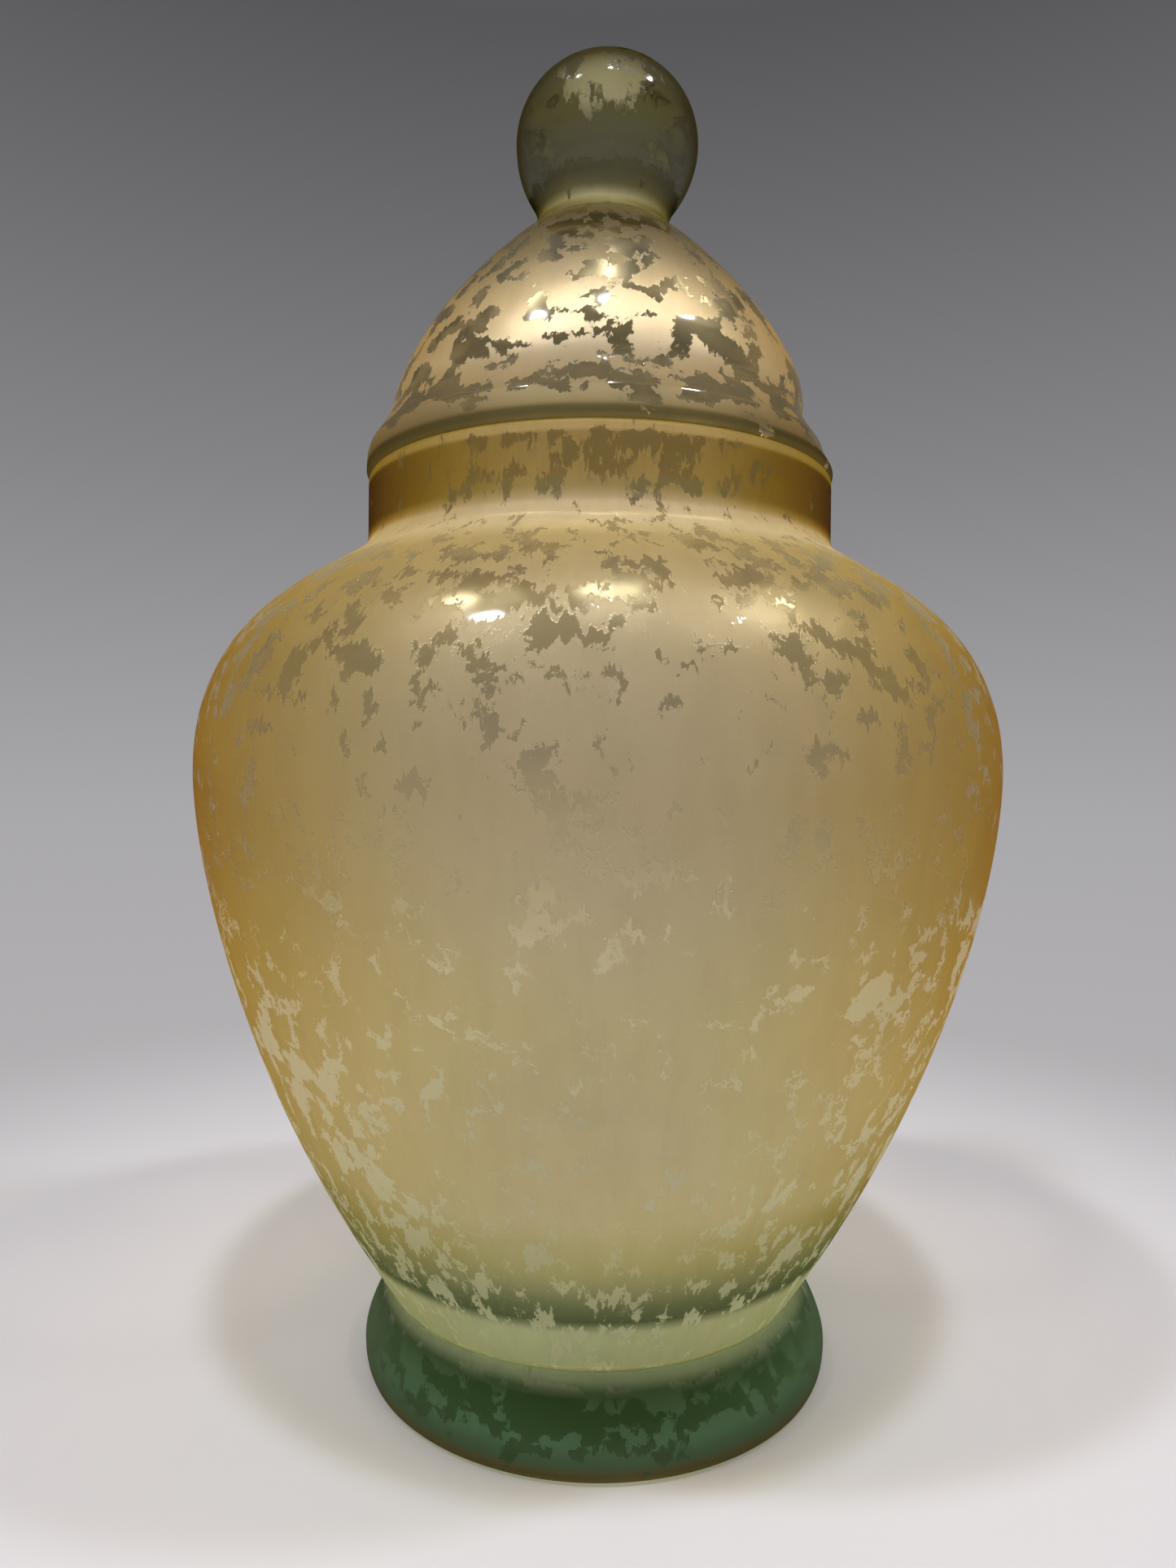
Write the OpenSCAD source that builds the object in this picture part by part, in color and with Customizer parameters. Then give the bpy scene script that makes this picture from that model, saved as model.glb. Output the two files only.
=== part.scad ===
// Lidded glass jar: a blown bowl on a thick solid foot, and a domed lid with a ball knob.
// Lengths are in mm and +Z is up. The origin is the centre of the circle the foot stands on.
// Two things come apart: the jar (jar_body, foot) and the lid (lid_dome, lid_collar, knob).
// The lid sits on the neck under its own weight and lifts straight off along +Z.

/* [Jar body] */
// Diameter at the widest point of the bowl
belly_d = 191.8; // [180:0.1:210]
// Height of the widest point
belly_z = 144; // [138:0.5:150]
// Diameter where the bowl meets the foot
waist_d = 101; // [92:0.5:108]
// Lean of the bowl wall away from vertical where it leaves the foot, degrees
bowl_flare = 33.8; // [26:0.1:40]
// Length of the curve handle at the bottom of the bowl
bowl_pull = 65; // [50:1:75]
// Length of the curve handle just under the widest point
belly_pull_low = 19.3; // [10:0.1:30]
// Length of the curve handle just over the widest point
belly_pull_high = 41.5; // [32:0.1:44]
// Thickness of the blown wall
wall = 4; // [3:0.1:6]
// Extra wall thickness low in the bowl, where the glass gathers
heel_extra = 2.4; // [0:0.1:4]
// Height of the cavity floor
floor_z = 30; // [28:0.5:34]
// Radius of the flat middle of the cavity floor
floor_flat_r = 30; // [15:1:34]

/* [Neck] */
// Outside diameter of the neck
neck_d = 114; // [112:0.1:116]
// Height of the rim the lid rests on
rim_z = 214.5; // [212:0.1:217]
// Height of the straight part of the neck, rim included
neck_h = 15.7; // [13:0.1:17]
// Radius of the melted edges of the rim
rim_round = 1.3; // [0.5:0.1:1.6]

/* [Foot] */
// Height of the crease between the foot and the bowl
foot_h = 20.3; // [18:0.1:23]
// Largest diameter of the foot
foot_d = 113.8; // [110:0.1:118]
// Height of the foot's widest point
foot_bulge_z = 6.5; // [5:0.1:8]
// Outside diameter of the ring it stands on
stand_d = 109; // [104:0.5:110]
// Width of the ring it stands on
stand_w = 7; // [4:0.5:10]
// Height of the hollow pushed up under the foot
kick_up = 8; // [3:0.5:12]

/* [Lid] */
// Outside diameter of the lid's flange
flange_d = 114.8; // [114:0.1:116]
// Height of the flange's upright edge
flange_h = 6.7; // [5:0.1:7.5]
// Diameter of the dome where the flange's slope meets it
dome_d = 101.2; // [98:0.1:104]
// Height of that meeting line over the rim
dome_z = 17.6; // [16:0.1:20]
// Height of the dome's top, under the knob, over the rim
crown_z = 63; // [60:0.5:67]
// Diameter of the dome's top, where the knob is joined
crown_d = 36.4; // [35:0.2:39]
// Slope of the dome at its top, degrees from horizontal
crown_slope = 40; // [34:0.5:46]
// Length of the curve handle at the foot of the dome
dome_pull = 8; // [6:0.5:14]
// Length of the curve handle at the top of the dome
crown_pull = 28; // [20:0.5:32]
// Thickness of the dome's wall
lid_wall = 3.8; // [3:0.1:5]
// Glass left at the crown, over the dome's hollow
crown_wall = 7; // [5:0.5:10]

/* [Lid collar] */
// Depth the collar drops into the neck
collar_drop = 10; // [6:0.5:14]
// Gap between the collar and the inside of the neck, on the radius
collar_gap = 0.5; // [0.35:0.05:1]
// Thickness of the collar
collar_wall = 3.4; // [2.5:0.1:4]

/* [Knob] */
// Diameter of the ball
knob_d = 45.5; // [42:0.1:50]
// Height of the ball over its joint with the dome
knob_h = 43.5; // [42:0.1:46]
// Height of the ball's upper half, a little flattened
knob_cap = 20.5; // [19:0.1:22.5]
// Diameter of the waist under the ball
knob_waist_d = 32.8; // [30:0.2:34]

/* [Resolution] */
// Segments along each free curve of a profile
curve_steps = 20; // [10:1:28]

/* [Hidden] */
$fn = 128;

bowl_glass = [0.80, 0.62, 0.33, 0.75];
foot_glass = [0.24, 0.36, 0.20, 0.85];
lid_glass = [0.84, 0.72, 0.52, 0.75];
knob_glass = [0.40, 0.34, 0.20, 0.80];

belly_r = belly_d / 2;
waist_r = waist_d / 2;
neck_r = neck_d / 2;
neck_bore_r = neck_r - wall;
neck_z = rim_z - neck_h;
flange_r = flange_d / 2;
dome_r = dome_d / 2;
crown_r = crown_d / 2;
crown_top = rim_z + crown_z;
collar_r = neck_bore_r - collar_gap;
collar_bore_r = collar_r - collar_wall;
stand_r = stand_d / 2;
foot_r = foot_d / 2;
knob_r = knob_d / 2;
knob_waist_r = knob_waist_d / 2;
knob_z = crown_top + knob_h - knob_cap;

// Points [radius, height] of a profile are cubic curves and circular arcs.
function cubic(p, t) =
    pow(1 - t, 3) * p[0] + 3 * pow(1 - t, 2) * t * p[1] + 3 * (1 - t) * t * t * p[2] + pow(t, 3) * p[3];
function cubic_slope(p, t) =
    3 * pow(1 - t, 2) * (p[1] - p[0]) + 6 * (1 - t) * t * (p[2] - p[1]) + 3 * t * t * (p[3] - p[2]);
function left_of(v) = [-v[1], v[0]] / norm(v);
function run(p, from = 0, to = 1, steps = curve_steps) =
    [for (i = [0:steps]) cubic(p, from + (to - from) * i / steps)];
// The same curve moved sideways, by "start" at its first point and by "end" at its last.
function inner_run(p, start, end, from = 0, to = 1, steps = curve_steps) =
    [for (i = [0:steps])
        let (t = from + (to - from) * i / steps)
        cubic(p, t) + left_of(cubic_slope(p, t)) * (start + (end - start) * i / steps)];
function arc(centre, r, from, to, steps = 8) =
    [for (i = [0:steps])
        let (a = from + (to - from) * i / steps)
        centre + r * [cos(a), sin(a)]];
function backwards(points) = [for (i = [len(points) - 1:-1:0]) points[i]];

// Outside of the bowl, from the foot to the belly and from the belly to the neck.
bowl_low = [
    [waist_r, foot_h],
    [waist_r + bowl_pull * sin(bowl_flare), foot_h + bowl_pull * cos(bowl_flare)],
    [belly_r, belly_z - belly_pull_low],
    [belly_r, belly_z]
];
bowl_high = [
    [belly_r, belly_z],
    [belly_r, belly_z + belly_pull_high],
    [neck_r + 0.6, neck_z - 8.3],
    [neck_r, neck_z]
];
// Where the cavity floor's curve meets the bowl's inner wall, as a share of the lower curve.
heel_t = 0.16;
heel_at = cubic(bowl_low, heel_t) + left_of(cubic_slope(bowl_low, heel_t)) * (wall + heel_extra);
heel_way = cubic_slope(bowl_low, heel_t) / norm(cubic_slope(bowl_low, heel_t));
cavity_floor = [
    [floor_flat_r, floor_z],
    [floor_flat_r + 11, floor_z],
    heel_at - 7 * heel_way,
    heel_at
];

module jar_body() {
    color(bowl_glass)
    rotate_extrude()
    polygon(concat(
        [[0, foot_h]],
        run(bowl_low),
        run(bowl_high, 1 / curve_steps, 1),
        arc([neck_r - rim_round, rim_z - rim_round], rim_round, 0, 90, 6),
        arc([neck_bore_r + rim_round, rim_z - rim_round], rim_round, 90, 180, 6),
        backwards(inner_run(bowl_high, wall, wall, 1 / curve_steps, 1)),
        backwards(inner_run(bowl_low, wall + heel_extra, wall, heel_t, 1)),
        backwards(run(cavity_floor, 0, 1 - 1 / 10, 9)),
        [[0, floor_z]]
    ));
}

module foot() {
    bulge = [foot_r, foot_bulge_z];
    color(foot_glass)
    rotate_extrude()
    polygon(concat(
        [[0, kick_up]],
        run([
            [stand_r - stand_w - 12, kick_up * 0.62],
            [stand_r - stand_w - 6, kick_up * 0.42],
            [stand_r - stand_w - 2.5, 0.6],
            [stand_r - stand_w, 0]
        ], 0, 1, 8),
        run([[stand_r, 0], [stand_r + 1.8, 0.1], bulge - [0, 3.4], bulge], 0, 1, 8),
        run([bulge, bulge + [0, 3.8], [waist_r + 2.2, foot_h - 2.6], [waist_r, foot_h]], 1 / 10, 1, 9),
        [[0, foot_h]]
    ));
}

// Outside of the lid: the flange's shoulder, then the dome.
flange_slope = [
    [flange_r - 1.5, rim_z + flange_h],
    [flange_r - 1.95, rim_z + flange_h + 1.5],
    [dome_r, rim_z + dome_z - 4.5],
    [dome_r, rim_z + dome_z]
];
dome_curve = [
    [dome_r, rim_z + dome_z],
    [dome_r, rim_z + dome_z + dome_pull],
    [crown_r + crown_pull * cos(crown_slope), crown_top - crown_pull * sin(crown_slope)],
    [crown_r, crown_top]
];
// The share of the dome's curve its hollow follows before it closes in a rounded top.
hollow_t = 0.82;
hollow_end = cubic(dome_curve, hollow_t) + left_of(cubic_slope(dome_curve, hollow_t)) * lid_wall;
hollow_way = cubic_slope(dome_curve, hollow_t) / norm(cubic_slope(dome_curve, hollow_t));
hollow_top = [
    hollow_end,
    hollow_end + 5 * hollow_way,
    [8, crown_top - crown_wall],
    [0, crown_top - crown_wall]
];

module lid_dome() {
    edge = 1.6;
    color(lid_glass)
    rotate_extrude()
    polygon(concat(
        [[collar_bore_r, rim_z]],
        arc([flange_r - edge, rim_z + edge], edge, -90, 0, 6),
        run(flange_slope, 0, 1, 10),
        run(dome_curve, 1 / curve_steps, 1),
        [[0, crown_top]],
        backwards(run(hollow_top, 1 / 8, 1, 7)),
        backwards(inner_run(dome_curve, lid_wall, lid_wall, 0, hollow_t)),
        run([
            [dome_r - lid_wall, rim_z + dome_z - 1],
            [dome_r - lid_wall, rim_z + 8],
            [collar_bore_r, rim_z + 8],
            [collar_bore_r, rim_z + 3]
        ], 0, 1, 8)
    ));
}

module lid_collar() {
    tip = collar_wall / 2;
    color(lid_glass)
    rotate_extrude()
    polygon(concat(
        arc([collar_bore_r + tip, rim_z - collar_drop + tip], tip, -180, 0, 12),
        [[collar_r, rim_z], [collar_bore_r, rim_z]]
    ));
}

module knob() {
    // The ball's arc starts where its tangent meets the waist's curve.
    low_angle = -35;
    low = [knob_r * cos(low_angle), knob_z + knob_r * sin(low_angle)];
    low_way = [-sin(low_angle), cos(low_angle)];
    waist_z = crown_top + 3.2;
    color(knob_glass)
    rotate_extrude()
    polygon(concat(
        [[0, crown_top]],
        run([
            [crown_r, crown_top],
            [crown_r - 0.9, crown_top + 1],
            [knob_waist_r, waist_z - 1.2],
            [knob_waist_r, waist_z]
        ], 0, 1, 5),
        run([[knob_waist_r, waist_z], [knob_waist_r, waist_z + 2.6], low - 2.6 * low_way, low], 1 / 6, 1, 5),
        arc([0, knob_z], knob_r, low_angle + 5, 0, 6),
        [for (a = [4.5:4.5:90]) [knob_r * cos(a), knob_z + knob_cap * sin(a)]]
    ));
}

jar_body();
foot();
lid_dome();
lid_collar();
knob();
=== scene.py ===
import math

import bpy
from mathutils import Matrix, Vector, noise


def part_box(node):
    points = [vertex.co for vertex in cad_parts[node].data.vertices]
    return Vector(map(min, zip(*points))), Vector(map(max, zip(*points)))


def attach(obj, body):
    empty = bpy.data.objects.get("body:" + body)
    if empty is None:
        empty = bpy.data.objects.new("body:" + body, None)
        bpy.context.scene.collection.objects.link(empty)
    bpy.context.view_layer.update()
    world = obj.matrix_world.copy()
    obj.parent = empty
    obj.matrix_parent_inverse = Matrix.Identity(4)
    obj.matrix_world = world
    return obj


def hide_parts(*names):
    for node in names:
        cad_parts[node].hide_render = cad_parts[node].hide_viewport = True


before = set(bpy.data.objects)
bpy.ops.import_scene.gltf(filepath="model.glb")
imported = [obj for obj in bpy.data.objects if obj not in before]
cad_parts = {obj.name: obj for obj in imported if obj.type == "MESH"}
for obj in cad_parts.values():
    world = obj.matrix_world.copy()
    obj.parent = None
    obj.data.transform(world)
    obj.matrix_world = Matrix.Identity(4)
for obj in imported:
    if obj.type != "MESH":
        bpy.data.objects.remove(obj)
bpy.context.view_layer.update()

MM = 0.001
WHITE = (1, 1, 1)


# ---------------------------------------------------------------- camera
# A wide lens close to the jar, level with the middle of its bowl, as the jar was photographed.
LENS_MM, SENSOR_MM = 23.92, 36
CAMERA_AT = (0, -0.264, 0.1441)
CAMERA_DOWN, CAMERA_TURN, CAMERA_ROLL = 0.012247, 0.00819, 0.010379  # radians


def make_camera():
    data = bpy.data.cameras.new("camera")
    data.lens = LENS_MM
    data.sensor_width = SENSOR_MM
    data.clip_start, data.clip_end = 0.01, 50
    camera = bpy.data.objects.new("camera", data)
    bpy.context.scene.collection.objects.link(camera)
    camera.location = CAMERA_AT
    turn = (Matrix.Rotation(CAMERA_TURN, 3, "Z") @ Matrix.Rotation(math.pi / 2 - CAMERA_DOWN, 3, "X")
            @ Matrix.Rotation(CAMERA_ROLL, 3, "Z"))
    camera.rotation_euler = turn.to_euler()
    bpy.context.scene.camera = camera


make_camera()
bpy.context.scene.view_settings.view_transform = "Standard"


# ---------------------------------------------------------------- node helper
class Tree:
    """Short calls for building a node tree. A value is a number, a tuple or another node's output."""

    def __init__(self, owner):
        owner.use_nodes = True
        self.tree = owner.node_tree
        self.tree.nodes.clear()

    def node(self, kind, out=0, settings=None, **inputs):
        """A new node's output. An input is named with _ for a space, or i0, i1 and so on by its place."""
        n = self.tree.nodes.new(kind)
        for key, value in (settings or {}).items():
            setattr(n, key, value)
        for key, value in inputs.items():
            key = int(key[1:]) if key[0] == "i" and key[1:].isdigit() else key.replace("_", " ")
            socket = n.inputs[key]
            if isinstance(value, bpy.types.NodeSocket):
                self.tree.links.new(value, socket)
            else:
                socket.default_value = value
        return n.outputs[out] if len(n.outputs) else None

    def math(self, operation, a, b=0.0):
        return self.node("ShaderNodeMath", settings={"operation": operation}, i0=a, i1=b)

    def add(self, a, b):
        return self.math("ADD", a, b)

    def mul(self, a, b):
        return self.math("MULTIPLY", a, b)

    def rest(self, a):
        return self.math("SUBTRACT", 1.0, a)

    def times_plus(self, a, b, c):
        return self.node("ShaderNodeMath", settings={"operation": "MULTIPLY_ADD"}, i0=a, i1=b, i2=c)

    def vector(self, operation, *values, out=0):
        """Vector maths. The operations that give a number have it at out 1."""
        inputs = {f"i{i}": value for i, value in enumerate(values)}
        return self.node("ShaderNodeVectorMath", out, settings={"operation": operation}, **inputs)

    def axis(self, vector, which):
        return self.node("ShaderNodeSeparateXYZ", which, Vector=vector)

    def ramp(self, value, low, high, to_low=0.0, to_high=1.0, smooth=True):
        settings = {"interpolation_type": "SMOOTHSTEP" if smooth else "LINEAR"}
        return self.node("ShaderNodeMapRange", settings=settings, i0=value, i1=low, i2=high, i3=to_low, i4=to_high)

    def noise(self, vector, scale, detail=2.0, roughness=0.5, out=0):
        return self.node("ShaderNodeTexNoise", out, Vector=vector, Scale=scale, Detail=detail, Roughness=roughness)

    def mix(self, share, a, b):
        """Colours a and b mixed."""
        return self.node("ShaderNodeMix", 2, settings={"data_type": "RGBA"}, i0=share, i6=a, i7=b)

    def product(self, a, b):
        """Colours a and b multiplied."""
        settings = {"data_type": "RGBA", "blend_type": "MULTIPLY"}
        return self.node("ShaderNodeMix", 2, settings=settings, i0=1.0, i6=a, i7=b)

    def blend(self, share, a, b):
        """Shaders a and b mixed."""
        return self.node("ShaderNodeMixShader", i0=share, i1=a, i2=b)

    def see_through(self, tint=WHITE):
        return self.node("ShaderNodeBsdfTransparent", Color=(*tint, 1))

    def attribute(self, name, out=2):
        return self.node("ShaderNodeAttribute", out, settings={"attribute_name": name})

    def by_height(self, height, rows):
        """A colour or a number read from rows of (height, value), straight between rows and level beyond them."""
        low, high = rows[0][0], rows[-1][0]
        place = self.ramp(height, low, high, smooth=False)
        n = self.tree.nodes.new("ShaderNodeValToRGB")
        self.tree.links.new(place, n.inputs[0])
        stops = n.color_ramp.elements
        while len(stops) < len(rows):
            stops.new(0.5)
        for stop, (z, value) in zip(stops, rows):
            stop.position = (z - low) / (high - low)
            stop.color = (*value, 1) if isinstance(value, tuple) else (value, value, value, 1)
        return n.outputs[0]


def level(value):
    """Rows for by_height that give the same value at every height."""
    return [(0, value), (1, value)]


# ---------------------------------------------------------------- stage, surroundings, lamps
FLOOR_RINGS = [0.05, 0.10, 0.15, 0.22, 0.32, 0.46, 0.62]  # radii in metres
FLOOR_COLUMNS = 96
FLOOR_FADE = (0.14, 0.40)  # the floor is solid up to the first radius and gone at the second
FLOOR_DROP = 0.15 * MM  # keeps the floor's face and the foot's apart
FLOOR_TONES = (0.68, 0.67, 0.715, 1), (0.72, 0.71, 0.755, 1)

# The backdrop's colour by the height of the line of sight, from straight down (-1) to straight up (1).
BACKDROP = [
    (-0.80, (0.74, 0.71, 0.73)), (-0.40, (0.62, 0.60, 0.61)), (-0.30, (0.46, 0.445, 0.455)),
    (-0.04, (0.40, 0.392, 0.405)), (0.26, (0.235, 0.23, 0.24)), (0.45, (0.15, 0.147, 0.155)),
    (0.58, (0.095, 0.093, 0.10)), (0.74, (0.15, 0.148, 0.15)), (0.90, (0.27, 0.265, 0.26))]

LAMP_AIM = (0, 0, 0.2)
LAMP_FAR, LAMP_SIZE = 1.5, 0.12
LAMP_COLOUR = (1, 0.98, 0.955)
LAMPS = [  # name, direction, watts
    ("lamp_left", (-0.38, -0.33, 0.87), 9.4),
    ("lamp_front", (0.03, -0.32, 0.95), 10.0),
    ("lamp_right", (0.49, -0.19, 0.85), 7.2)]


def make_floor():
    """A round white floor whose edge fades into the surroundings."""
    verts, faces = [(0, 0, 0)], []
    for r in FLOOR_RINGS:
        angles = (2 * math.pi * i / FLOOR_COLUMNS for i in range(FLOOR_COLUMNS))
        verts += [(r * math.cos(a), r * math.sin(a), 0) for a in angles]
    for i in range(FLOOR_COLUMNS):
        faces.append((0, 1 + i, 1 + (i + 1) % FLOOR_COLUMNS))
    for k in range(len(FLOOR_RINGS) - 1):
        for i in range(FLOOR_COLUMNS):
            a = 1 + k * FLOOR_COLUMNS + i
            b = 1 + k * FLOOR_COLUMNS + (i + 1) % FLOOR_COLUMNS
            faces.append((a, a + FLOOR_COLUMNS, b + FLOOR_COLUMNS, b))
    mesh = bpy.data.meshes.new("floor")
    mesh.from_pydata(verts, [], faces)
    floor = bpy.data.objects.new("floor", mesh)
    floor.location.z = -FLOOR_DROP
    bpy.context.scene.collection.objects.link(floor)
    material = bpy.data.materials.new("floor")
    t = Tree(material)
    place = t.node("ShaderNodeTexCoord", 3)
    white = t.mix(t.noise(place, 9.0, 3.0), *FLOOR_TONES)
    shader = t.node("ShaderNodeBsdfPrincipled", Base_Color=white, Roughness=0.55, IOR=1.45)
    away = t.vector("LENGTH", place, out=1)
    t.node("ShaderNodeOutputMaterial", Surface=t.blend(t.ramp(away, *FLOOR_FADE), shader, t.see_through()))
    mesh.materials.append(material)


def make_surroundings():
    """A plain backdrop that is pale low down and darkens upwards, the same all round, under a paler ceiling."""
    world = bpy.data.worlds.new("surroundings")
    bpy.context.scene.world = world
    t = Tree(world)
    tone = t.by_height(t.axis(t.node("ShaderNodeTexCoord"), 2), BACKDROP)
    t.node("ShaderNodeOutputWorld", Surface=t.node("ShaderNodeBackground", Color=tone, Strength=1.0))


def make_lamp(name, way, watts):
    data = bpy.data.lights.new(name, "AREA")
    data.shape = "DISK"
    data.size = LAMP_SIZE
    data.energy = watts
    data.color = LAMP_COLOUR
    lamp = bpy.data.objects.new(name, data)
    way = Vector(way).normalized()
    lamp.location = Vector(LAMP_AIM) + way * LAMP_FAR
    lamp.rotation_euler = way.to_track_quat("Z", "Y").to_euler()
    bpy.context.scene.collection.objects.link(lamp)


make_floor()
make_surroundings()
for lamp_row in LAMPS:
    make_lamp(*lamp_row)


# ---------------------------------------------------------------- outlines, in mm as (radius, height)
def cubic(p, t):
    u = 1 - t
    return Vector(p[0]) * u ** 3 + Vector(p[1]) * 3 * u * u * t + Vector(p[2]) * 3 * u * t * t + Vector(p[3]) * t ** 3


def slope(p, t):
    u = 1 - t
    p = [Vector(q) for q in p]
    return (p[1] - p[0]) * 3 * u * u + (p[2] - p[1]) * 6 * u * t + (p[3] - p[2]) * 3 * t * t


def run(p, steps=20):
    return [cubic(p, i / steps) for i in range(steps + 1)]


def inner_run(p, near, far, start=0.0, end=1.0, steps=20):
    """A stretch of the cubic p moved sideways, by near at its first point and by far at its last."""
    points = []
    for i in range(steps + 1):
        t = start + (end - start) * i / steps
        way = slope(p, t).normalized()
        points.append(cubic(p, t) + Vector((-way.y, way.x)) * (near + (far - near) * i / steps))
    return points


def arc(centre, r, start, end, steps):
    angles = (math.radians(start + (end - start) * i / steps) for i in range(steps + 1))
    return [Vector(centre) + Vector((math.cos(a), math.sin(a))) * r for a in angles]


def line(a, b, steps):
    a, b = Vector(a), Vector(b)
    return [a.lerp(b, i / steps) for i in range(steps + 1)]


def node_box(name):
    """A CAD node's largest radius, lowest and highest z, in mm."""
    lo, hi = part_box(name)
    return (hi[0] - lo[0]) / 2 / MM, lo[2] / MM, hi[2] / MM


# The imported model's sizes. What a node's box doesn't give has the value it has in the CAD.
BELLY_R, FOOT_H, RIM_Z = node_box("jar_body")
FOOT_R, _, _ = node_box("foot")
FLANGE_R, _, CROWN_TOP = node_box("lid_dome")
COLLAR_R, COLLAR_LOW, _ = node_box("lid_collar")
KNOB_R, _, KNOB_TOP = node_box("knob")
WAIST_R, BELLY_Z = 50.5, 144
BOWL_FLARE, BOWL_PULL, BELLY_PULL_LOW, BELLY_PULL_HIGH = math.radians(33.8), 65, 19.3, 41.5
WALL, HEEL_EXTRA, HEEL_T, HEEL_PULL = 4, 2.4, 0.16, 7
FLOOR_Z, FLOOR_FLAT_R, FLOOR_PULL = 30, 30, 11
NECK_R, NECK_Z, RIM_ROUND = 57, RIM_Z - 15.7, 1.3
FOOT_BULGE_Z, STAND_R, STAND_W, KICK_UP = 6.5, 54.5, 7, 8
FLANGE_H, FLANGE_EDGE, DOME_R, DOME_Z, DOME_PULL = 6.7, 1.6, 50.6, 17.6, 8
CROWN_R, CROWN_SLOPE, CROWN_PULL, CROWN_WALL = 18.2, math.radians(40), 28, 7
LID_WALL, HOLLOW_T, HOLLOW_PULL, THROAT_Z = 3.8, 0.82, 5, RIM_Z + 8
COLLAR_WALL = 3.4
COLLAR_BORE_R = COLLAR_R - COLLAR_WALL
KNOB_WAIST_R, KNOB_WAIST_Z, KNOB_WAIST_PULL, KNOB_CAP, KNOB_LOW = 16.4, CROWN_TOP + 3.2, 2.6, 20.5, -35
SEAM = 0.03  # half the gap left where two nodes are one piece of glass

bowl_low = [
    (WAIST_R, FOOT_H),
    (WAIST_R + BOWL_PULL * math.sin(BOWL_FLARE), FOOT_H + BOWL_PULL * math.cos(BOWL_FLARE)),
    (BELLY_R, BELLY_Z - BELLY_PULL_LOW),
    (BELLY_R, BELLY_Z),
]
bowl_high = [
    (BELLY_R, BELLY_Z),
    (BELLY_R, BELLY_Z + BELLY_PULL_HIGH),
    (NECK_R + 0.6, NECK_Z - 8.3),
    (NECK_R, NECK_Z),
]

# A stretch's kind: frosted skin, plain glass inside, or a face where two pieces are one glass.
SKIN, BARE, JOINT = 0, 1, 2


def bowl_outline():
    heel = inner_run(bowl_low, WALL + HEEL_EXTRA, WALL, HEEL_T, 1, 70)
    way = slope(bowl_low, HEEL_T).normalized()
    floor = [(FLOOR_FLAT_R, FLOOR_Z), (FLOOR_FLAT_R + FLOOR_PULL, FLOOR_Z), heel[0] - way * HEEL_PULL, heel[0]]
    return [
        (JOINT, line((0, FOOT_H + SEAM), (WAIST_R, FOOT_H + SEAM), 6)),
        (SKIN, run(bowl_low, 110)),
        (SKIN, run(bowl_high, 80)),
        (SKIN, line((NECK_R, NECK_Z), (NECK_R, RIM_Z - RIM_ROUND), 12)),
        (SKIN, arc((NECK_R - RIM_ROUND, RIM_Z - RIM_ROUND), RIM_ROUND, 0, 90, 6)),
        (BARE, arc((NECK_R - WALL + RIM_ROUND, RIM_Z - RIM_ROUND), RIM_ROUND, 90, 180, 6)),
        (BARE, line((NECK_R - WALL, RIM_Z - RIM_ROUND), (NECK_R - WALL, NECK_Z), 8)),
        (BARE, inner_run(bowl_high, WALL, WALL, steps=50)[::-1]),
        (BARE, heel[::-1]),
        (BARE, run(floor, 14)[::-1]),
        (BARE, line((FLOOR_FLAT_R, FLOOR_Z), (0, FLOOR_Z), 6)),
    ]


def foot_outline():
    inside = STAND_R - STAND_W
    bulge = (FOOT_R, FOOT_BULGE_Z)
    hollow = [(inside - 12, KICK_UP * 0.62), (inside - 6, KICK_UP * 0.42), (inside - 2.5, 0.6), (inside, 0)]
    low = [(STAND_R, 0), (STAND_R + 1.8, 0.1), (FOOT_R, FOOT_BULGE_Z - 3.4), bulge]
    high = [bulge, (FOOT_R, FOOT_BULGE_Z + 3.8), (WAIST_R + 2.2, FOOT_H - 2.6), (WAIST_R, FOOT_H)]
    return [
        (BARE, line((0, KICK_UP), hollow[0], 6)),
        (BARE, run(hollow, 12)),
        (BARE, line((inside, 0), (STAND_R, 0), 3)),
        (SKIN, run(low, 14)),
        (SKIN, run(high, 18)),
        (JOINT, line((WAIST_R, FOOT_H - SEAM), (0, FOOT_H - SEAM), 6)),
    ]


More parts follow.
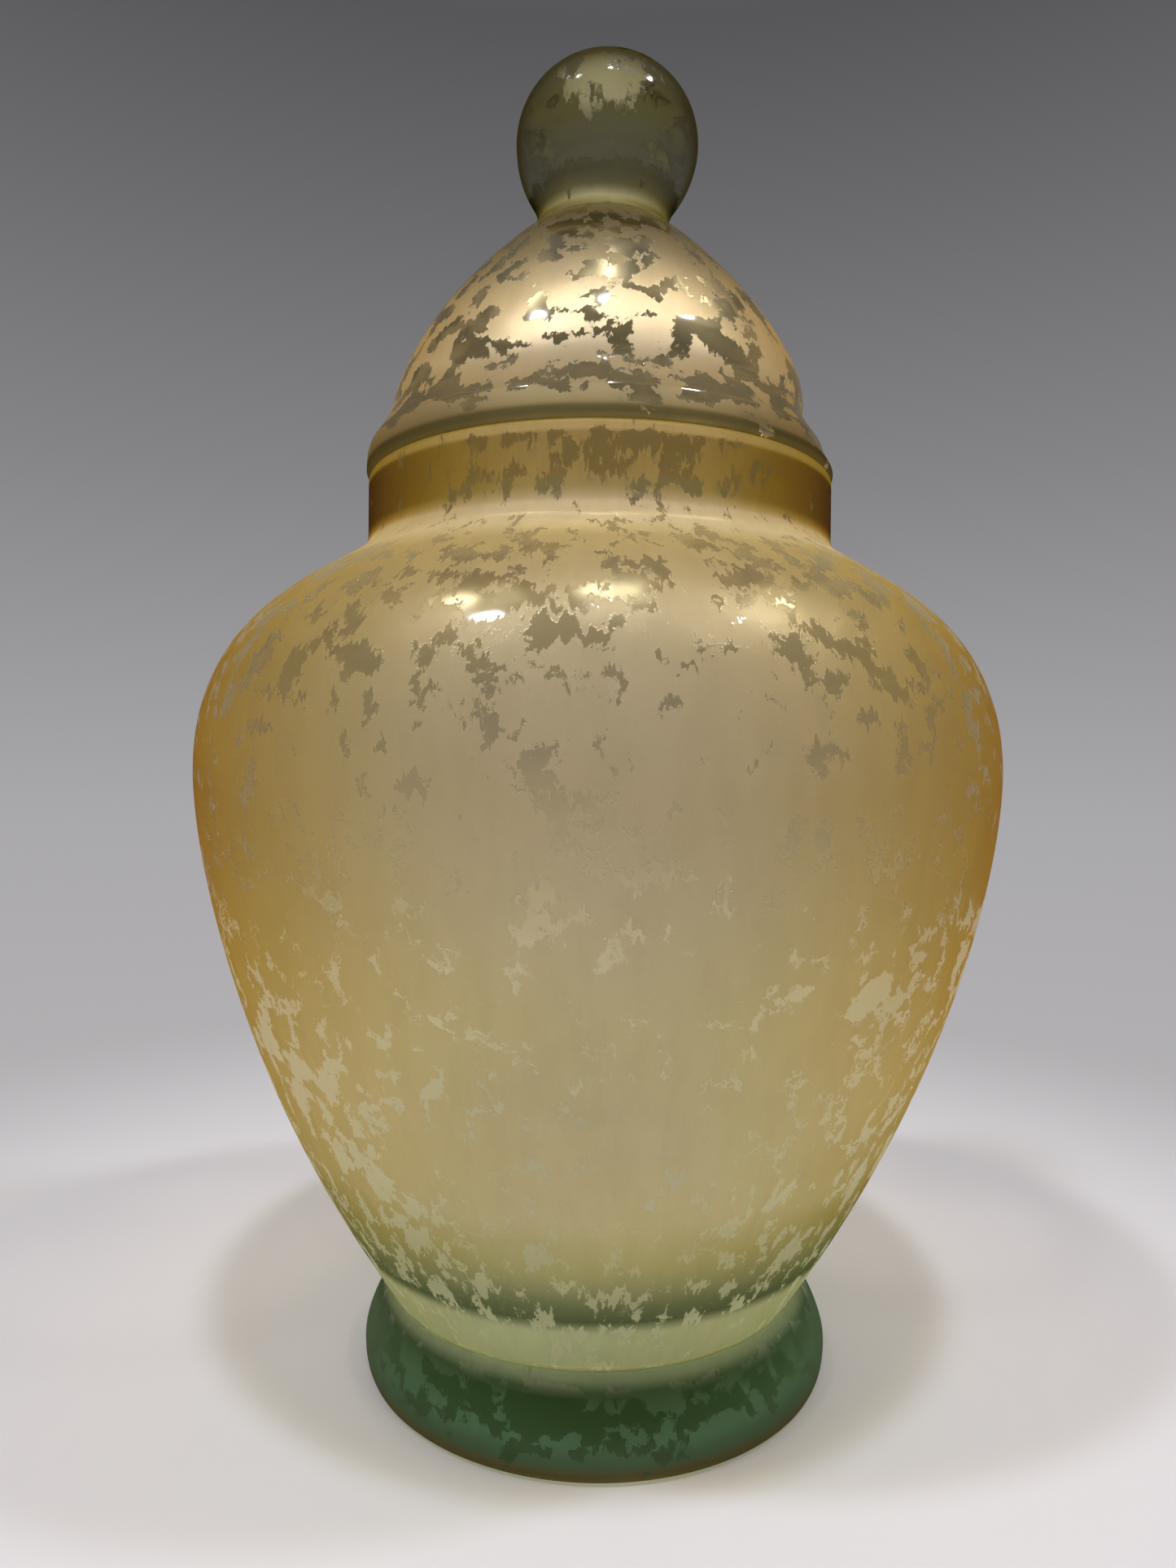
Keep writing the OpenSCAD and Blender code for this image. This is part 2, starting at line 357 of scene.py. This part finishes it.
def dome_outline():
    flange = [
        (FLANGE_R - 1.5, RIM_Z + FLANGE_H),
        (FLANGE_R - 1.95, RIM_Z + FLANGE_H + 1.5),
        (DOME_R, RIM_Z + DOME_Z - 4.5),
        (DOME_R, RIM_Z + DOME_Z),
    ]
    dome = [
        (DOME_R, RIM_Z + DOME_Z),
        (DOME_R, RIM_Z + DOME_Z + DOME_PULL),
        (CROWN_R + CROWN_PULL * math.cos(CROWN_SLOPE), CROWN_TOP - CROWN_PULL * math.sin(CROWN_SLOPE)),
        (CROWN_R, CROWN_TOP),
    ]
    hollow = inner_run(dome, LID_WALL, LID_WALL, 0, HOLLOW_T, 50)
    way = slope(dome, HOLLOW_T).normalized()
    top = [hollow[-1], hollow[-1] + way * HOLLOW_PULL, (8, CROWN_TOP - CROWN_WALL), (0, CROWN_TOP - CROWN_WALL)]
    throat = [
        (DOME_R - LID_WALL, RIM_Z + DOME_Z),
        (DOME_R - LID_WALL, THROAT_Z),
        (COLLAR_BORE_R, THROAT_Z),
        (COLLAR_BORE_R, RIM_Z + SEAM),
    ]
    return [
        (JOINT, line((COLLAR_BORE_R, RIM_Z + SEAM), (COLLAR_R, RIM_Z + SEAM), 2)),
        (BARE, line((COLLAR_R, RIM_Z + SEAM), (FLANGE_R - FLANGE_EDGE, RIM_Z + SEAM), 3)),
        (SKIN, arc((FLANGE_R - FLANGE_EDGE, RIM_Z + FLANGE_EDGE), FLANGE_EDGE, -90, 0, 7)),
        (SKIN, line((FLANGE_R, RIM_Z + FLANGE_EDGE), flange[0], 5)),
        (SKIN, run(flange, 18)),
        (SKIN, run(dome, 80)),
        (JOINT, line((CROWN_R, CROWN_TOP - SEAM), (0, CROWN_TOP - SEAM), 4)),
        (BARE, run(top, 10)[::-1]),
        (BARE, hollow[::-1]),
        (BARE, run(throat, 12)),
    ]


def collar_outline():
    tip = COLLAR_WALL / 2
    return [
        (SKIN, arc((COLLAR_BORE_R + tip, COLLAR_LOW + tip), tip, -180, 0, 14)),
        (SKIN, line((COLLAR_R, COLLAR_LOW + tip), (COLLAR_R, RIM_Z), 8)),
        (JOINT, line((COLLAR_R, RIM_Z - SEAM), (COLLAR_BORE_R, RIM_Z - SEAM), 2)),
        (SKIN, line((COLLAR_BORE_R, RIM_Z), (COLLAR_BORE_R, COLLAR_LOW + tip), 8)),
    ]


def knob_outline():
    """The ball's lower arc starts where its tangent meets the waist's curve."""
    middle = KNOB_TOP - KNOB_CAP
    low = math.radians(KNOB_LOW)
    start = Vector((KNOB_R * math.cos(low), middle + KNOB_R * math.sin(low)))
    way = Vector((-math.sin(low), math.cos(low)))
    narrowing = [(CROWN_R, CROWN_TOP), (CROWN_R - 0.9, CROWN_TOP + 1),
                 (KNOB_WAIST_R, KNOB_WAIST_Z - 1.2), (KNOB_WAIST_R, KNOB_WAIST_Z)]
    widening = [(KNOB_WAIST_R, KNOB_WAIST_Z), (KNOB_WAIST_R, KNOB_WAIST_Z + KNOB_WAIST_PULL),
                start - way * KNOB_WAIST_PULL, start]
    cap_steps = 44
    cap_angles = (math.pi / 2 * i / cap_steps for i in range(cap_steps + 1))
    return [
        (JOINT, line((0, CROWN_TOP + SEAM), (CROWN_R, CROWN_TOP + SEAM), 4)),
        (SKIN, run(narrowing, 10)),
        (SKIN, run(widening, 12)),
        (SKIN, arc((0, middle), KNOB_R, KNOB_LOW, 0, 20)),
        (SKIN, [Vector((KNOB_R * math.cos(a), middle + KNOB_CAP * math.sin(a))) for a in cap_angles]),
    ]


# ---------------------------------------------------------------- small irregularities, in mm
BOWL_UNEVEN, BOWL_UNEVEN_SIZE, BOWL_UNEVEN_SEED = 0.25, 60, 3.1
FOOT_SHIFT = 0.8  # to the right
FLANGE_SHIFT = -1.0
KNOB_LEAN = 1.0


def share_of(value, low, high):
    return min(1, max(0, (value - low) / (high - low)))


def bowl_shape(v):
    """The bowl's wall lies up to twice BOWL_UNEVEN inside its true circle, but not at the crease and the neck."""
    r = math.hypot(v.x, v.y)
    if r < 1:
        return v
    push = noise.noise(Vector(v) / BOWL_UNEVEN_SIZE + Vector((BOWL_UNEVEN_SEED, BOWL_UNEVEN_SEED * 0.7, 0)))
    grow = push * BOWL_UNEVEN - BOWL_UNEVEN
    free = share_of(v.z, FOOT_H, FOOT_H + 12) * share_of(-v.z, -NECK_Z, 10 - NECK_Z)
    return v + Vector((v.x / r, v.y / r, 0)) * grow * free


def foot_shape(v):
    """The foot stands a little to the right."""
    return v + Vector((FOOT_SHIFT * share_of(-v.z, -FOOT_H, 4 - FOOT_H), 0, 0))


def lid_shape(v):
    """The flange sits a little to the left of the rim."""
    free = share_of(v.z, RIM_Z + 1, RIM_Z + 5) * share_of(-v.z, -RIM_Z - 24, -RIM_Z - 14)
    return v + Vector((FLANGE_SHIFT * free, 0, 0))


def knob_shape(v):
    """The knob leans a little to the right."""
    return v + Vector((KNOB_LEAN * share_of(v.z, CROWN_TOP, CROWN_TOP + 20), 0, 0))


# ---------------------------------------------------------------- meshes
def spin(name, outline, columns, track_r, shape=None):
    """A closed mesh from an outline turned about the z axis. Points are in mm. A stretch that starts or ends on
    the axis closes in one point there, and an outline that never meets the axis closes on itself. The attribute
    track holds each point's place on a drum of radius track_r, with the distance run along the outline upwards."""
    nearly = 1e-6
    points, kinds = [], []
    for kind, stretch in outline:
        for q in stretch:
            if points and (q - points[-1]).length < nearly:
                continue
            points.append(q.copy())
            kinds.append(kind)
    ring = points[0].x > nearly
    if ring and (points[0] - points[-1]).length < nearly:
        points.pop()
        kinds[0] = kinds.pop()

    verts, rows, track = [], [], []
    along = 0.0
    for k, q in enumerate(points):
        along += (q - points[k - 1]).length if k else 0.0
        if q.x < nearly:
            rows.append([len(verts)])
            verts.append(Vector((0, 0, q.y)))
            track += (0, 0, along)
            continue
        rows.append(list(range(len(verts), len(verts) + columns)))
        for i in range(columns):
            a = 2 * math.pi * i / columns
            verts.append(Vector((q.x * math.cos(a), q.x * math.sin(a), q.y)))
            track += (track_r * math.cos(a), track_r * math.sin(a), along)
    if shape:
        verts = [shape(v) for v in verts]

    faces, marks = [], []
    pairs = [(i, i + 1) for i in range(len(points) - 1)] + ([(len(points) - 1, 0)] if ring else [])
    for low, high in pairs:
        a, b = rows[low], rows[high]
        for i in range(columns):
            j = (i + 1) % columns
            if len(a) == 1 and len(b) == 1:
                continue
            if len(a) == 1:
                faces.append((a[0], b[j], b[i]))
            elif len(b) == 1:
                faces.append((a[i], a[j], b[0]))
            else:
                faces.append((a[i], a[j], b[j], b[i]))
            marks.append(kinds[high])

    mesh = bpy.data.meshes.new(name)
    mesh.from_pydata([v * MM for v in verts], [], faces)
    for label, wanted in (("skin", SKIN), ("joint", JOINT)):
        mark = mesh.attributes.new(label, "FLOAT", "FACE")
        mark.data.foreach_set("value", [float(k == wanted) for k in marks])
    mesh.attributes.new("track", "FLOAT_VECTOR", "POINT").data.foreach_set("vector", track)
    mesh.polygons.foreach_set("use_smooth", [k != JOINT for k in marks])
    mesh.update()
    piece = bpy.data.objects.new(name, mesh)
    bpy.context.scene.collection.objects.link(piece)
    return piece


# ---------------------------------------------------------------- glass
# How fine the patterns are, per mm.
TEAR, NET_TEAR = 0.45, 0.40
STROKES = (0.9, 0.9, 0.10)
GATHERING, BUNCHING, BREAKS = 0.028, 0.03, 0.16
DRIFT, FEATHERS = 0.016, (0.22, 0.22, 0.06)
GRIT, WAVES = 1.6, 0.045
FROST_RELIEF, GRIT_RELIEF, WAVE_RELIEF = 0.18, 0.05, 1.2  # mm

AMBER, AMBER_DEPTH = (0.96, 0.76, 0.0), 9
AMBER_EDGE = (0.60, 0.35, 0.03)
WALL_PASS = (0.71, 0.70, 0.68)
GLASS_IOR = 1.5
OUTSIDE_ROUGH, INSIDE_ROUGH = 0.05, 0.22
EDGE_POWER = 1.35
FLECK_PALENESS = 0.55  # how much of the colour that gathers edge on a pale fleck escapes
DRIFT_TINT = (1.0, 0.94, 0.82, 1)
FEATHER_TINT = (0.95, 0.945, 0.925, 1)

# What a glass's rows hold after the height. The frost colour also carries painted light and painted shade at some
# heights.
FROST_AND_PAINTED_LIGHT, CLEAR, PATCHES, NET, DEEPNESS, MILK = range(1, 7)


def torn_edges(t, place, scale, amount):
    """Places in mm pushed about by up to amount, so that a pattern read there has torn edges."""
    push = t.noise(place, scale, 4.0, 0.65, out=1)
    return t.vector("MULTIPLY_ADD", push, (amount,) * 3, place)


def windows(t, track, cover, size, stretch, brush, seed, ragged=4.0, crisp=0.012):
    """Where the frost is missing, 0 or 1: ragged patches of a size in mm, drawn out by brush mm up and down,
    with edges torn by ragged mm. cover is the share of clear glass."""
    moved = t.vector("ADD", track, (seed, seed * 0.37, seed * 1.9))
    strokes = t.noise(t.vector("MULTIPLY", moved, STROKES), 1.0, 3.0, 0.6)
    drag = t.node("ShaderNodeCombineXYZ", X=0.0, Y=0.0, Z=t.mul(t.add(strokes, -0.5), brush))
    torn = t.vector("ADD", torn_edges(t, moved, TEAR, ragged), drag)
    patch = t.noise(t.vector("MULTIPLY", torn, stretch), 1 / size, 4.0, 0.5)
    edge = t.times_plus(cover, -0.34, 0.67)  # the noise lies above this in about that share of places
    return t.ramp(t.math("SUBTRACT", patch, edge), -crisp, crisp)


def lace(t, track, cover, size, seed):
    """Where the frost is missing in a fine torn net, 0 or 1."""
    torn = torn_edges(t, t.vector("ADD", track, (seed, seed * 0.7, seed * 1.3)), NET_TEAR, 5)
    net = t.noise(t.vector("MULTIPLY", torn, (1, 1, 0.75)), 1 / size, 5.0, 0.6)
    strand = t.math("ABSOLUTE", t.add(net, -0.5))
    broken = t.ramp(t.noise(torn, BREAKS), 0.40, 0.60, 0.0, 0.17)
    return t.ramp(t.math("SUBTRACT", t.mul(cover, broken), strand), -0.004, 0.006)


def glass(name, rows, depth_tint, depth, lamp_tint, patches, net=None, deepen=AMBER_EDGE, clarity=level(1),
          pale=level(WHITE), frost_rough=0.5, uneven_share=0.3, spots=(), front_only=None,
          edge_milk=(0.45, 0.95, 0.4), gloss=0.0):
    """Tinted glass under a frosted skin with ragged clear patches.
    rows lists (height in mm, frost colour, which at some heights also holds painted light and painted shade, clear
    colour, share of clear patches, share of net, gathering of colour where the wall is seen edge on, share of the
    frost's light that is spread all round) upwards.
    depth_tint and depth: the colour that light takes on inside the glass, and how fast.
    lamp_tint: what a wall's face lets through to cast light inside.
    patches, net: the arguments of windows and of lace.
    deepen: the colour that gathers edge on, or rows of (height, colour).
    clarity, pale: rows of (height, how free of frost the patches are) and (height, colour of what frost they keep).
    frost_rough: the frost's roughness. gloss: the weight of a clear coat over it.
    uneven_share: how much the patches' number changes from place to place.
    spots: (centre in mm, radius in mm, added share) of places with more or fewer patches.
    front_only: (height, near, far), to thin the patches out over that height from near to far mm off the middle.
    edge_milk: (from, to, share) of the light spread all round where the wall is seen edge on."""
    material = bpy.data.materials.new(name)
    t = Tree(material)
    place = t.vector("MULTIPLY", t.node("ShaderNodeTexCoord", 3), (1 / MM,) * 3)
    height = t.axis(place, 2)
    track = t.attribute("track", 1)
    skin, joint = t.attribute("skin"), t.attribute("joint")

    def column(which):
        return t.by_height(height, [(row[0], row[which]) for row in rows])

    gather = t.noise(track, GATHERING)
    more = t.ramp(gather, 0.38, 0.62, 1 - uneven_share, 1 + uneven_share, smooth=False)
    share = t.mul(column(PATCHES), more)
    sides = t.math("ABSOLUTE", t.axis(track, 0))
    for centre, radius, added in spots:
        gap = t.vector("DISTANCE", place, centre, out=1)
        share = t.add(share, t.ramp(gap, radius * 0.5, radius * 1.2, added, 0.0))
    if front_only:
        above, near, far = front_only
        fewer = t.mul(t.ramp(sides, near, far), t.math("GREATER_THAN", height, above))
        share = t.mul(share, t.rest(fewer))
    clear = windows(t, track, share, **patches)
    if net:
        bunch = t.ramp(t.noise(track, BUNCHING), 0.40, 0.62, 0.25, 1.0)
        amount = t.mul(t.mul(column(NET), t.ramp(sides, 10, 50, 0.12, 1.0)), bunch)
        clear = t.math("MAXIMUM", clear, lace(t, track, amount, **net))
    frost = t.mul(t.rest(t.mul(clear, t.by_height(height, clarity))), skin)

    edge_on = t.math("POWER", t.node("ShaderNodeLayerWeight", 1, Blend=0.5), EDGE_POWER)
    gathered = t.by_height(height, level(deepen) if isinstance(deepen, tuple) else deepen)
    deep = t.node("ShaderNodeGamma", Color=gathered, Gamma=t.mul(edge_on, column(DEEPNESS)))
    drift = t.ramp(t.noise(track, DRIFT, 3.0), 0.35, 0.65, 0.0, 0.5)
    feather = t.noise(t.vector("MULTIPLY", track, FEATHERS), 1.0, 4.0, 0.6)
    tint = column(FROST_AND_PAINTED_LIGHT)
    tint = t.mix(drift, tint, t.product(tint, DRIFT_TINT))
    tint = t.mix(t.ramp(feather, 0.40, 0.64), tint, t.product(tint, FEATHER_TINT))
    fleck = t.product(t.by_height(height, pale), t.mix(FLECK_PALENESS, deep, (*WHITE, 1)))
    tint = t.mix(clear, t.product(tint, deep), fleck)
    bare_tint = t.product(column(CLEAR), deep)
    glaze = t.mix(skin, (*WHITE, 1), t.mix(frost, bare_tint, tint))

    grit = t.mul(t.mul(t.noise(place, GRIT, 4.0, 0.7), frost), GRIT_RELIEF)
    waves = t.mul(t.noise(place, WAVES), WAVE_RELIEF)
    relief = t.add(t.mul(frost, FROST_RELIEF), t.add(grit, waves))
    normal = t.node("ShaderNodeBump", Height=relief, Strength=0.6, Distance=MM)
    rough = t.times_plus(frost, frost_rough, t.ramp(skin, 0, 1, INSIDE_ROUGH, OUTSIDE_ROUGH))
    sheen = t.node("ShaderNodeBsdfPrincipled", Base_Color=glaze, Transmission_Weight=1.0, IOR=GLASS_IOR,
                   Roughness=rough, Normal=normal, Coat_Weight=gloss)
    veil = t.blend(0.5, t.node("ShaderNodeBsdfDiffuse", Color=tint, Normal=normal),
                   t.node("ShaderNodeBsdfTranslucent", Color=tint, Normal=normal))
    milk = t.mul(frost, column(MILK))
    edge = t.mul(skin, t.ramp(edge_on, edge_milk[0], edge_milk[1], 0.0, edge_milk[2]))
    body = t.blend(t.add(milk, t.mul(t.rest(milk), edge)), sheen, veil)
    body = t.blend(t.node("ShaderNodeLightPath", 1), body, t.see_through(lamp_tint))
    body = t.blend(joint, body, t.see_through())
    inside = t.node("ShaderNodeVolumeAbsorption", Color=(*depth_tint, 1), Density=depth)
    t.node("ShaderNodeOutputMaterial", Surface=body, Volume=inside)
    return material


# ---------------------------------------------------------------- pieces
def finish_piece(piece, body, node, material):
    piece.data.materials.append(material)
    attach(piece, body)
    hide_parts(node)


COLUMNS, KNOB_COLUMNS = 256, 192

bowl = spin("bowl", bowl_outline(), COLUMNS, track_r=75, shape=bowl_shape)
finish_piece(bowl, "jar", "jar_body", glass(
    "bowl_glass", [
        (20, (0.60, 0.70, 0.44), (0.86, 0.94, 0.70), 0.10, 0.0, 0.3, 0.85),
        (22, (0.64, 0.75, 0.48), (0.86, 0.94, 0.70), 0.15, 0.0, 0.3, 0.85),
        (32, (0.70, 0.81, 0.54), (0.86, 0.94, 0.70), 0.25, 0.0, 0.4, 0.85),
        (35, (0.15, 0.21, 0.11), (0.58, 0.70, 0.48), 0.25, 0.0, 0.5, 0.85),
        (39, (0.28, 0.37, 0.21), (0.60, 0.72, 0.50), 0.30, 0.2, 0.9, 0.8),
        # z 50 to 80: the frost colour is partly the glass's own yellow-green and partly painted light, raised near
        # white for light from inside the jar shining through
        (50, (0.92, 1.0, 0.77), (0.86, 0.94, 0.76), 0.30, 0.35, 1.8, 0.8),
        (60, (1.0, 1.0, 0.84), (0.94, 0.96, 0.82), 0.12, 0.5, 1.1, 0.8),
        (80, (0.98, 0.95, 0.77), (0.94, 0.92, 0.78), 0.06, 0.55, 0.9, 0.68),
        (100, (0.88, 0.82, 0.59), (0.90, 0.86, 0.66), 0.06, 0.55, 0.9, 0.52),
        (122, (0.80, 0.715, 0.515), (0.84, 0.77, 0.57), 0.08, 0.25, 1.05, 0.5),
        (140, (0.73, 0.635, 0.44), (0.64, 0.56, 0.38), 0.12, 0.0, 1.1, 0.5),
        (165, (0.67, 0.59, 0.45), (0.60, 0.54, 0.36), 0.38, 0.0, 0.9, 0.5),
        (188, (0.68, 0.61, 0.51), (0.58, 0.52, 0.36), 0.42, 0.0, 0.45, 0.5),
        # z 193 to 198: painted light, a pale cream band where lamp light falls on the hollow between shoulder and
        # neck
        (193, (0.86, 0.77, 0.64), (0.68, 0.60, 0.40), 0.15, 0.0, 0.2, 0.55),
        (198, (1.0, 0.84, 0.56), (0.80, 0.72, 0.46), 0.05, 0.0, 0.2, 0.6),
        (201, (0.62, 0.50, 0.21), (0.40, 0.36, 0.14), 0.44, 0.0, 3.0, 0.7),
        (211.4, (0.60, 0.48, 0.20), (0.38, 0.34, 0.12), 0.58, 0.0, 3.0, 0.7),
        # z 212.3 to 214.5: painted highlight, a bright line along the rounded top of the neck's rim
        (212.3, (0.92, 0.76, 0.38), (0.80, 0.68, 0.34), 0.1, 0.0, 1.0, 0.7),
        (214.5, (0.80, 0.66, 0.32), (0.80, 0.68, 0.34), 0.1, 0.0, 1.0, 0.7)],
    AMBER, AMBER_DEPTH, WALL_PASS,
    patches=dict(size=5.2, stretch=(1, 1, 1), brush=9, seed=20.0), net=dict(size=13, seed=31.0),
    deepen=[(40, (0.53, 0.46, 0.22)), (75, (0.58, 0.40, 0.10)), (105, AMBER_EDGE), (197, AMBER_EDGE),
            (201, (0.49, 0.37, 0.05))],
    pale=[(40, (0.74, 0.80, 0.54)), (65, (1.0, 1.0, 0.80)), (100, (1.0, 0.95, 0.76)), (114, (0.98, 0.91, 0.71)),
          (125, (0.62, 0.54, 0.35)), (198, (0.66, 0.58, 0.38)), (200, (0.34, 0.29, 0.11))],
    clarity=[(58, 0.12), (85, 0.40), (114, 0.50), (125, 0.92), (198, 0.92), (200, 0.30)],
    uneven_share=0.2, edge_milk=(0.35, 0.90, 0.60), spots=[((-4, -93, 131), 17, 0.26)],
    front_only=(199, 28, 52)))

base = spin("base", foot_outline(), COLUMNS, track_r=55, shape=foot_shape)
finish_piece(base, "jar", "foot", glass(
    "foot_glass", [
        (0, (0.34, 0.25, 0.07), (0.44, 0.44, 0.18), 0.1, 0.0, 1.0, 0.6),
        (2.4, (0.33, 0.26, 0.08), (0.44, 0.44, 0.18), 0.1, 0.0, 1.0, 0.6),
        (4.6, (0.20, 0.38, 0.18), (0.44, 0.70, 0.36), 0.2, 0.0, 1.0, 0.5),
        (9, (0.23, 0.47, 0.26), (0.44, 0.74, 0.38), 0.45, 0.0, 1.0, 0.5),
        (13, (0.22, 0.43, 0.20), (0.44, 0.74, 0.38), 0.62, 0.0, 1.0, 0.5),
        (17, (0.16, 0.29, 0.11), (0.40, 0.66, 0.32), 0.5, 0.0, 1.0, 0.5),
        (18.8, (0.50, 0.60, 0.40), (0.80, 0.90, 0.62), 0.1, 0.0, 0.5, 0.8),
        (20.3, (0.62, 0.73, 0.52), (0.86, 0.94, 0.70), 0.1, 0.0, 0.3, 0.85)],
    (0.25, 0.66, 0.10), 18, (0.78, 0.82, 0.74),
    patches=dict(size=5.2, stretch=(1, 1, 1.2), brush=2, seed=5.0),
    deepen=(0.6, 0.55, 0.4), clarity=level(0.25), pale=[(16, (0.10, 0.24, 0.05)), (18, (0.6, 0.7, 0.45))]))

dome = spin("dome", dome_outline(), COLUMNS, track_r=45, shape=lid_shape)
finish_piece(dome, "lid", "lid_dome", glass(
    "lid_glass", [
        # z 214.5 to 216.6: painted shade, a dark band along the flange's lower edge where it rests on the rim
        (214.5, (0.13, 0.11, 0.04), (0.30, 0.26, 0.12), 0.0, 0.0, 1.0, 0.85),
        (216.6, (0.14, 0.12, 0.05), (0.30, 0.26, 0.12), 0.0, 0.0, 1.0, 0.8),
        (217.6, (0.36, 0.30, 0.15), (0.34, 0.30, 0.15), 0.3, 0.0, 0.9, 0.6),
        # z 221.5 to 246: painted sheen, frost made bright peach where lamp light spreads over the lower dome; above
        # it the frost is darker towards the crown
        (221.5, (0.60, 0.52, 0.36), (0.34, 0.30, 0.16), 0.66, 0.0, 0.9, 0.5),
        (225, (0.82, 0.71, 0.55), (0.36, 0.31, 0.18), 0.58, 0.0, 0.9, 0.5),
        (230, (0.98, 0.86, 0.68), (0.38, 0.33, 0.19), 0.44, 0.0, 1.0, 0.5),
        (246, (0.96, 0.85, 0.70), (0.38, 0.33, 0.20), 0.44, 0.0, 1.0, 0.5),
        (258, (0.47, 0.42, 0.32), (0.32, 0.28, 0.18), 0.50, 0.0, 0.8, 0.5),
        (271, (0.28, 0.25, 0.17), (0.32, 0.28, 0.18), 0.50, 0.0, 0.8, 0.5),
        (277, (0.40, 0.37, 0.18), (0.34, 0.32, 0.16), 0.42, 0.0, 0.8, 0.5)],
    AMBER, AMBER_DEPTH, WALL_PASS,
    patches=dict(size=7.0, stretch=(1, 1, 1.25), brush=4, seed=24.0, ragged=2.4),
    deepen=(0.50, 0.36, 0.13), clarity=level(0.95), pale=level((0.3, 0.26, 0.12)), frost_rough=0.82,
    uneven_share=0.12))

collar = spin("collar", collar_outline(), COLUMNS, track_r=50)
finish_piece(collar, "lid", "lid_collar", glass(
    "collar_glass", [
        (204, (0.66, 0.56, 0.30), (0.8, 0.7, 0.5), 0.1, 0.0, 0.5, 0.35),
        (214, (0.66, 0.56, 0.30), (0.8, 0.7, 0.5), 0.1, 0.0, 0.5, 0.35)],
    AMBER, AMBER_DEPTH, WALL_PASS,
    patches=dict(size=12, stretch=(1, 1, 1), brush=3, seed=2.0)))

knob = spin("ball_knob", knob_outline(), KNOB_COLUMNS, track_r=21, shape=knob_shape)
finish_piece(knob, "lid", "knob", glass(
    "knob_glass", [
        # z 277 to 280.5: painted light, a pale band where light falls on the knob's waist above the dome
        (277, (1.0, 0.96, 0.76), (0.80, 0.78, 0.55), 0.0, 0.0, 0.9, 0.95),
        (280.5, (0.96, 0.92, 0.70), (0.70, 0.68, 0.45), 0.0, 0.0, 0.9, 0.95),
        (283, (0.40, 0.38, 0.23), (0.60, 0.57, 0.36), 0.0, 0.0, 1.3, 0.6),
        (286, (0.19, 0.18, 0.09), (0.60, 0.57, 0.36), 0.1, 0.0, 1.6, 0.4),
        (290, (0.20, 0.19, 0.10), (0.58, 0.55, 0.34), 1.7, 0.0, 1.6, 0.4),
        (294, (0.45, 0.42, 0.24), (0.58, 0.55, 0.34), 1.6, 0.0, 1.6, 0.45),
        (299, (0.98, 0.92, 0.64), (0.58, 0.55, 0.34), 1.5, 0.0, 1.6, 0.7),
        (305, (0.95, 0.90, 0.64), (0.58, 0.55, 0.34), 1.15, 0.0, 1.6, 0.65),
        (311, (0.72, 0.68, 0.46), (0.58, 0.55, 0.34), 0.80, 0.0, 1.6, 0.6),
        (321, (0.55, 0.52, 0.34), (0.58, 0.55, 0.34), 0.7, 0.0, 1.6, 0.5)],
    (0.55, 0.52, 0.0), 28, (0.80, 0.77, 0.66),
    patches=dict(size=4.2, stretch=(1, 1, 0.8), brush=8, seed=5.0, ragged=3.0, crisp=0.06),
    deepen=(0.14, 0.12, 0.03), pale=level((0.11, 0.095, 0.03)), uneven_share=0.1,
    spots=[((1, -21, 301.5), 10.5, -0.95)], edge_milk=(0.25, 0.75, 0.95), gloss=0.2))
